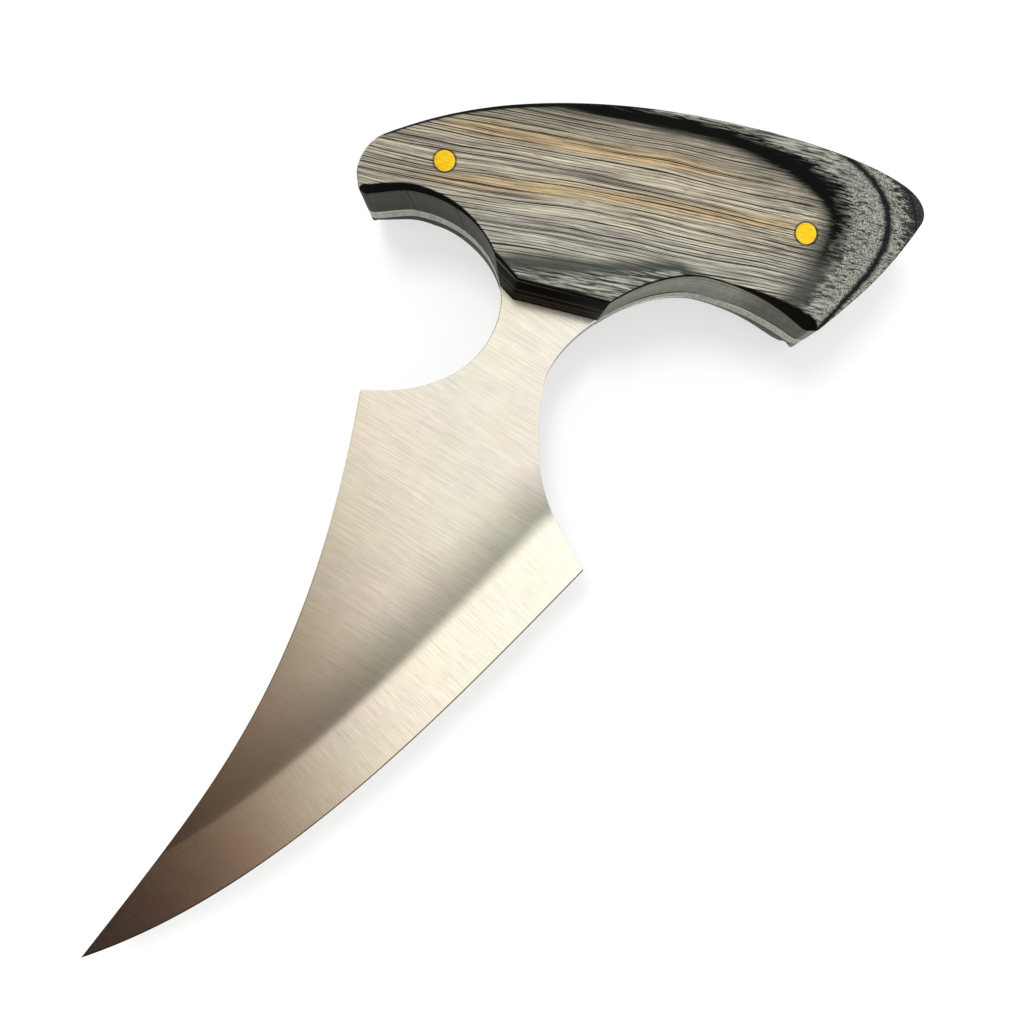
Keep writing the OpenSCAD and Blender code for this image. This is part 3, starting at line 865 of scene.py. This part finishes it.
def wood_wall_material():
    """The sides of the same laminate, rubbed to a dull shine: dark olive grey with faint
    lines at the glue, painted darker towards the butt and lighter towards the nose, and
    near-black with a tan line at the guard, which is black-dyed wood and painted shade."""
    material, tree, place = new_material("dyed_laminated_birch_sides")
    z = add(tree, "SeparateXYZ", {0: place}, out="Z")
    guard = add(tree, "Attribute", out="Fac", attribute_name="guard")
    off = add(tree, "Math", {0: z, 1: float(MID_Z)}, operation="SUBTRACT")
    off = add(tree, "Math", {0: off}, operation="ABSOLUTE")
    depth = add(tree, "Math", {0: float(FACE_Z - MID_Z), 1: off}, operation="SUBTRACT")
    along = strands(tree, place, (0.25, 0.25, 5.0), 4, 0.6)
    up = strands(tree, place, (1.6, 1.6, 0.25), 3)
    wavy = add(tree, "Math", {0: along, 1: 0.3, 2: depth}, operation="MULTIPLY_ADD")
    share = add(tree, "MapRange", {"Value": wavy, "From Min": 0, "From Max": 10})
    plain = add(tree, "ValToRGB", {"Fac": share}, stops=[
        (0.14, "#474840"), (0.17, "#2c2d27"), (0.20, "#4a4b43"), (0.34, "#484941"),
        (0.36, "#3b3c35"), (0.39, "#4d4e46"), (0.50, "#494a42"), (0.52, "#3d3e37"),
        (0.55, "#494a42"), (0.68, "#43443c"), (0.70, "#363730"), (0.73, "#45463e"),
        (0.97, "#3e3f38")])
    x = add(tree, "SeparateXYZ", {0: place}, out="X")
    # Painted shade and light: the walls darken towards the butt and lighten towards the nose, for
    # walls that face the light differently
    painted_light_towards_nose = add(tree, "MapRange", {
        "Value": x, "From Min": -16, "From Max": 12, "To Min": 0.60, "To Max": 3.1}, **SMOOTH)
    plain = add(tree, "VectorMath", {0: plain, "Scale": painted_light_towards_nose}, operation="SCALE")
    # Near-black by the guard: black-dyed wood, and painted shade on walls that face away from the
    # light
    black_and_shade = add(tree, "ValToRGB", {"Fac": share}, stops=[
        (0.13, "#030303"), (0.155, "#5a503c"), (0.175, "#675b44"), (0.20, "#040403"),
        (0.50, "#060605"), (0.55, "#332d20"), (0.60, "#050504"), (0.70, "#080706"),
        (0.74, "#3b3425"), (0.78, "#060504"), (0.88, "#2a251a"), (0.94, "#050504")])
    tint = add(tree, "Mix", {0: guard, 6: plain, 7: black_and_shade}, **COLOUR)
    shade = add(tree, "MapRange", {"Value": up, **NOISE, "To Min": 0.85, "To Max": 1.12})
    tint = add(tree, "VectorMath", {0: tint, "Scale": shade}, operation="SCALE")
    return finished(material, {"Base Color": tint, "Roughness": 0.45, "Specular IOR Level": 0.05})


def brass_material(colours):
    """Brass rod, sanded flush with the wood and polished: a soft even shine with a
    trace of the sanding left in it."""
    material, tree, place = new_material("polished_brass")
    fine = strands(tree, place, (0.8, 5.0, 1.0), 4)
    shade = add(tree, "MapRange", {"Value": fine, **NOISE, "To Min": 0.80, "To Max": 1.14})
    tint = add(tree, "VectorMath", {0: tuple(colours.brass), "Scale": shade}, operation="SCALE")
    rough = add(tree, "MapRange", {"Value": fine, **NOISE, "To Min": 0.34, "To Max": 0.24})
    return finished(material, {"Base Color": tint, "Metallic": 1.0, "Roughness": rough})


def epoxy_material():
    """Dark epoxy, squeezed out to a hairline and rubbed down with the wood."""
    material, tree, place = new_material("cured_epoxy")
    fine = add(tree, "TexNoise", {"Vector": place, "Scale": 0.8, "Detail": 3})
    tint = add(tree, "ValToRGB", {"Fac": fine}, stops=[(0.3, "#1d1c16"), (0.7, "#37352a")])
    return finished(material, {"Base Color": tint, "Roughness": 0.35})


def floor_material():
    """Matt white paper on a dim light table, which keeps the shadows pale."""
    material, tree, place = new_material("white_paper")
    fine = add(tree, "TexNoise", {"Vector": place, "Scale": 0.04, "Detail": 2})
    tint = add(tree, "ValToRGB", {"Fac": fine}, stops=[(0.3, "#a4a4a4"), (0.7, "#a6a6a6")])
    return finished(material, {
        "Base Color": tint, "Roughness": 0.9, "Specular IOR Level": 0.0,
        "Emission Color": "#ffffff", "Emission Strength": 0.58})


# ---- operators

def put(piece, nodes):
    """Rides a piece on the one body, in place of its frame nodes, which it hides."""
    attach(piece, "root")
    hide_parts(*nodes)


class KNIFE_OT_steel(Operator):
    """Make the blade, neck and tang"""
    bl_idname = "knife.steel"
    bl_label = "Steel"

    def execute(self, context):
        sizes, colours = context.scene.knife_sizes, context.scene.knife_colours
        points, quads, kinds, fields = steel_shape(sizes)
        finishes = [steel_material(colours, sizes.bevel_w / MM), steel_edge_material()]
        piece = make_piece("steel_blade", points, quads, 28, finishes, kinds, fields)
        put(piece, ["blade"])
        return {"FINISHED"}


class KNIFE_OT_scales(Operator):
    """Make the front and back scales"""
    bl_idname = "knife.scales"
    bl_label = "Scales"

    def execute(self, context):
        finishes = [wood_face_material(), wood_wall_material()]
        for front, name in ((True, "front_scale"), (False, "back_scale")):
            points, quads, kinds, fields = scale_shape(front, context.scene.knife_sizes)
            piece = make_piece(name + "_wood", points, quads, 40, finishes, kinds, fields)
            put(piece, [name])
        return {"FINISHED"}


class KNIFE_OT_pins(Operator):
    """Make the two pins"""
    bl_idname = "knife.pins"
    bl_label = "Pins"

    def execute(self, context):
        finish = brass_material(context.scene.knife_colours)
        for side, name in ((-1, "left_pin"), (1, "right_pin")):
            points, quads = pin_shape(side, context.scene.knife_sizes)
            piece = make_piece(name + "_brass", points, quads, 50, [finish])
            put(piece, [name])
        return {"FINISHED"}


class KNIFE_OT_bonds(Operator):
    """Give the two epoxy films their finish"""
    bl_idname = "knife.bonds"
    bl_label = "Bonds"

    def execute(self, context):
        material = epoxy_material()
        for name in ("back_bond", "front_bond"):
            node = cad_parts[name]
            for slot in node.material_slots:
                slot.material = material
        return {"FINISHED"}


def aim(thing, target):
    """Points a light's -Z at a place."""
    way = Vector(target) - thing.location
    thing.rotation_euler = way.to_track_quat("-Z", "Y").to_euler()


def studio_world(scene):
    """Soft studio room: even white for all that it lights, and for gloss a bright
    ceiling that darkens to warm brown beyond the tip of the blade."""
    world = bpy.data.worlds.new("studio")
    world.use_nodes = True
    tree = world.node_tree
    tree.nodes.clear()
    way = add(tree, "TexCoord", out="Generated")
    # The room's bright end lies 35 degrees off the X axis
    bright_end = (0.82, 0.57, 0)
    lean = add(tree, "VectorMath", {0: way, 1: bright_end}, out="Value", operation="DOT_PRODUCT")
    place = add(tree, "MapRange", {"Value": lean, "From Min": -0.6, "From Max": 0.4})
    room = add(tree, "ValToRGB", {"Fac": place}, stops=[
        (0.0, "#0b0200"), (0.10, "#270b03"), (0.14, "#39190b"), (0.22, "#61442e"),
        (0.27, "#836b56"), (0.335, "#a79a8a"), (0.40, "#d4cec3"), (0.46, "#ebe6dc"),
        (0.52, "#f1eee6"), (0.60, "#eeebe5"), (0.80, "#fbfaf9")])
    gloss = add(tree, "Background", {"Color": room, "Strength": 1.5})
    soft = add(tree, "Background", {"Color": "#ffffff", "Strength": 0.92})
    path = add(tree, "LightPath", out="Is Glossy Ray")
    mix = add(tree, "MixShader", {0: path, 1: soft, 2: gloss})
    add(tree, "OutputWorld", {"Surface": mix})
    scene.world = world


# A soft lamp high to the back left, and a camera that looks straight down from a
# hand's length above the blade, turned a little about its own axis
KEY_PLACE = (-0.24, 0.22, 0.82)
KEY_TARGET = (0, -0.05, 0)
CAMERA_PLACE = (-0.0087, -0.0621, 0.1682)
CAMERA_TURN_DEG = 11.14


class KNIFE_OT_stage(Operator):
    """Make the floor, the light, the room and the camera"""
    bl_idname = "knife.stage"
    bl_label = "Stage"

    def execute(self, context):
        scene = context.scene
        # A hair under the handle, so that the two never share a plane
        half, low = 1.5, -0.0001
        corners = [(-half, -half, low), (half, -half, low), (half, half, low), (-half, half, low)]
        mesh = bpy.data.meshes.new("floor")
        mesh.from_pydata(corners, [], [(0, 1, 2, 3)])
        mesh.materials.append(floor_material())
        floor = bpy.data.objects.new("floor", mesh)
        scene.collection.objects.link(floor)

        key = bpy.data.lights.new("key", "AREA")
        key.shape = "DISK"
        key.size = 0.3
        key.energy = 3.6
        key_object = bpy.data.objects.new("key", key)
        key_object.location = KEY_PLACE
        # The room alone shows in the steel
        key_object.visible_glossy = False
        aim(key_object, KEY_TARGET)
        scene.collection.objects.link(key_object)
        studio_world(scene)

        camera = bpy.data.cameras.new("camera")
        camera.sensor_width = 36
        camera.lens = 28.27
        camera.shift_y = 0.0127
        camera.clip_start = 0.01
        camera_object = bpy.data.objects.new("camera", camera)
        camera_object.location = CAMERA_PLACE
        camera_object.rotation_euler = (0, 0, math.radians(CAMERA_TURN_DEG))
        scene.collection.objects.link(camera_object)
        scene.camera = camera_object
        scene.view_settings.view_transform = "Standard"
        return {"FINISHED"}


class KNIFE_PT_panel(Panel):
    """Lists the pieces in the sidebar"""
    bl_label = "Push Knife"
    bl_idname = "KNIFE_PT_panel"
    bl_space_type = "VIEW_3D"
    bl_region_type = "UI"
    bl_category = "Knife"

    def draw(self, context):
        layout = self.layout
        for operator in OPERATORS:
            layout.operator(operator.bl_idname)
        for group in (context.scene.knife_sizes, context.scene.knife_colours):
            for key in group.__annotations__:
                layout.prop(group, key)


OPERATORS = (KNIFE_OT_steel, KNIFE_OT_scales, KNIFE_OT_pins, KNIFE_OT_bonds, KNIFE_OT_stage)
CLASSES = (KnifeSizes, KnifeColours, *OPERATORS, KNIFE_PT_panel)


def register():
    for cls in CLASSES:
        bpy.utils.register_class(cls)
    bpy.types.Scene.knife_sizes = PointerProperty(type=KnifeSizes)
    bpy.types.Scene.knife_colours = PointerProperty(type=KnifeColours)


def unregister():
    del bpy.types.Scene.knife_colours
    del bpy.types.Scene.knife_sizes
    for cls in reversed(CLASSES):
        bpy.utils.unregister_class(cls)


def main():
    register()
    bpy.ops.knife.steel()
    bpy.ops.knife.scales()
    bpy.ops.knife.pins()
    bpy.ops.knife.bonds()
    bpy.ops.knife.stage()


if __name__ == "__main__":
    main()
